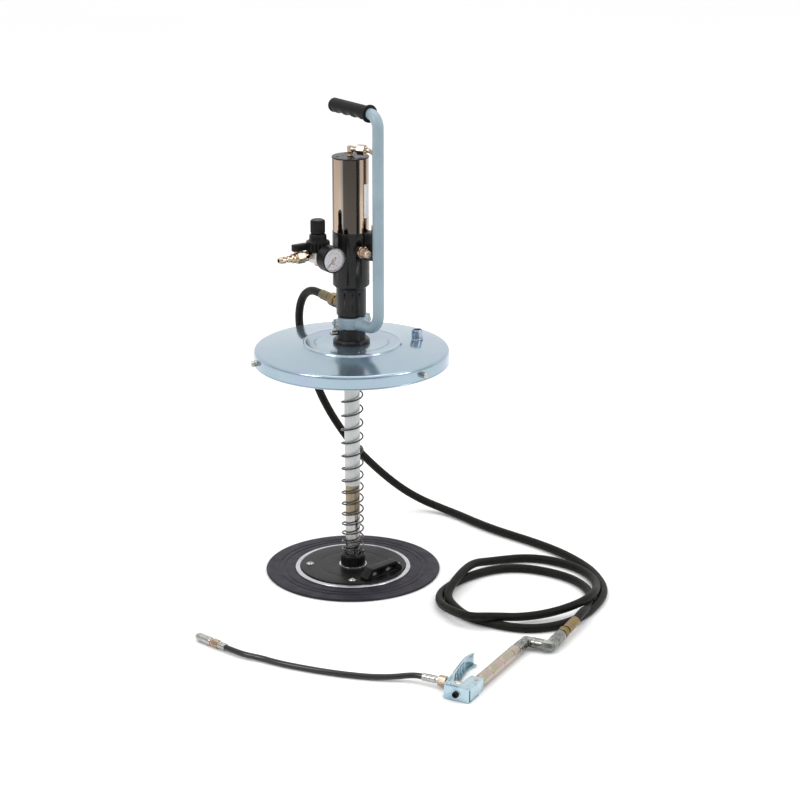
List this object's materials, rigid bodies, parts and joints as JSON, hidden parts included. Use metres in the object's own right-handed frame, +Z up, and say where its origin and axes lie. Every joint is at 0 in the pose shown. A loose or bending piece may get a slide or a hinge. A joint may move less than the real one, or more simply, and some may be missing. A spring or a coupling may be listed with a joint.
{
  "type": "grease pump",
  "caption": "Air-operated grease pump kit for a pail: air motor on a suction tube, pail lid, sprung follower plate, carry handle, hose and lever control gun.",
  "frame": {"origin": "on the pump's axis, where its foot stands on the floor", "axes": "+Z up along the pump's axis, -Y towards the front, where the gauge and the gun are"},
  "size_m": [0.7271, 0.8787, 0.8698],
  "materials": {
    "chrome": "polished",
    "black_anodised": "satin",
    "blue_zinc": "satin zinc plate",
    "steel": "bright",
    "grey_paint": "satin",
    "handle_paint": "satin",
    "nickel": "bright nickel",
    "brass": "satin",
    "gold_zinc": "yellow chromate",
    "bronze": "satin",
    "black_rubber": "matt",
    "hose_rubber": "matt",
    "grey_rubber": "matt",
    "black_plastic": "satin",
    "white_ring": "gloss",
    "dark_steel": "dark",
    "lens": "clear",
    "needle": "matt"
  },
  "bodies": {
    "pump": {"motor_cylinder": "chrome", "motor_cap": "black_anodised", "cap_fittings": "nickel", "transfer_tube": "nickel", "motor_base": "black_anodised", "valve_block": "black_anodised", "silencer": "nickel", "outlet_body": "black_anodised", "rod_gland": "brass", "suction_tube": "grey_paint", "pump_barrel": "bronze", "foot_tube": "steel", "carry_handle": "handle_paint", "handle_grip": "black_rubber", "clamp_strap": "handle_paint", "clamp_bolts": "steel", "lid_collar": "black_anodised", "lid": "blue_zinc", "lid_fittings": "blue_zinc", "follower_spring": "dark_steel", "inlet_nipple": "brass", "regulator_body": "grey_paint", "regulator_bonnet": "black_plastic", "gauge_case": "black_plastic", "gauge_lens": "lens", "valve_body": "nickel", "air_plug": "nickel", "outlet_fitting": "gold_zinc", "hose_ferrules": "gold_zinc", "main_hose": "hose_rubber", "hose_coil": "hose_rubber", "swivel_elbows": "steel", "gun_body": "steel", "gun_bracket": "blue_zinc", "gun_pins": "dark_steel", "short_hose": "hose_rubber", "short_fittings": "steel", "coupler_body": "steel"},
    "follower": {"follower_lip": "grey_rubber", "follower_plate": "black_plastic", "follower_ring": "white_ring", "follower_hub": "black_plastic", "follower_screws": "steel", "follower_grip": "black_plastic"},
    "piston": {"air_piston": "steel", "piston_rod": "steel", "pump_plunger": "steel"},
    "upper_ball": {"plunger_ball": "steel"},
    "lower_ball": {"foot_ball": "steel"},
    "spool": {"valve_spool": "steel"},
    "knob": {"regulator_knob": "black_plastic"},
    "valve_handle": {"valve_ball": "steel", "valve_lever": "black_plastic"},
    "needle": {"gauge_needle": "needle"},
    "screw": {"collar_screw": "chrome"},
    "hose_nut": {"swivel_nut": "steel"},
    "link": {"swivel_link": "steel"},
    "lever": {"gun_lever": "blue_zinc"},
    "gun_valve": {"gun_plunger": "steel"},
    "sleeve": {"coupler_sleeve": "steel"}
  },
  "joints": [
    {"name": "follower_slide", "type": "slide", "parent": "pump", "child": "follower", "axis": [0, 0, 1], "range_m": [0, 0.35], "stiffness_N_per_m": 60, "springref_m": -0.35, "deforming": ["follower_spring"]},
    {"name": "pump_stroke", "type": "slide", "parent": "pump", "child": "piston", "axis": [0, 0, 1], "range_m": [0, 0.07]},
    {"name": "plunger_check", "type": "slide", "parent": "piston", "child": "upper_ball", "axis": [0, 0, 1], "range_m": [0, 0.003]},
    {"name": "foot_check", "type": "slide", "parent": "pump", "child": "lower_ball", "axis": [0, 0, 1], "range_m": [0, 0.005]},
    {"name": "spool_shift", "type": "slide", "parent": "pump", "child": "spool", "axis": [0, 0, 1], "range_m": [0, 0.01]},
    {"name": "regulator_knob_turn", "type": "hinge", "parent": "pump", "child": "knob", "pos_m": [-0.05652, -0.03958, 0.65], "axis": [0, 0, 1], "range_deg": [0, 1260]},
    {"name": "air_valve_turn", "type": "hinge", "parent": "pump", "child": "valve_handle", "pos_m": [-0.08748, -0.06126, 0.6055], "axis": [0, 0, 1], "range_deg": [0, 90]},
    {"name": "gauge_needle_turn", "type": "hinge", "parent": "pump", "child": "needle", "pos_m": [-0.02784, -0.08053, 0.604], "axis": [-0.5736, 0.8192, 0], "range_deg": [0, 270], "stiffness_Nm_per_rad": 0.0005, "springref_deg": -17.19},
    {"name": "collar_screw_turn", "type": "hinge", "parent": "pump", "child": "screw", "pos_m": [-0.02898, -0.00777, 0.4542], "axis": [-0.9659, -0.2588, 0], "range_deg": [0, 720]},
    {"name": "hose_nut_turn", "type": "hinge", "parent": "pump", "child": "hose_nut", "pos_m": [0.33889, -0.37559, 0.012], "axis": [0.4672, 0.8823, 0.0567], "continuous": true},
    {"name": "swivel_link_turn", "type": "hinge", "parent": "pump", "child": "link", "pos_m": [0.31944, -0.36529, 0.012], "axis": [0.8838, -0.4679, 0], "continuous": true},
    {"name": "gun_lever_squeeze", "type": "hinge", "parent": "pump", "child": "lever", "pos_m": [0.16493, -0.546, 0.012], "axis": [0, 0, -1], "range_deg": [0, 14], "stiffness_Nm_per_rad": 0.5, "springref_deg": -11.46},
    {"name": "gun_valve_push", "type": "slide", "parent": "pump", "child": "gun_valve", "axis": [0.8838, -0.4679, 0], "range_m": [0, 0.003]},
    {"name": "coupler_sleeve_turn", "type": "hinge", "parent": "pump", "child": "sleeve", "pos_m": [-0.2453, -0.33556, 0.0075], "axis": [0.735, -0.678, 0], "range_deg": [0, 720]}
  ],
  "couplings": [
    {"joint": "gun_valve_push", "follows": "gun_lever_squeeze", "m_per_rad": 0.011}
  ]
}
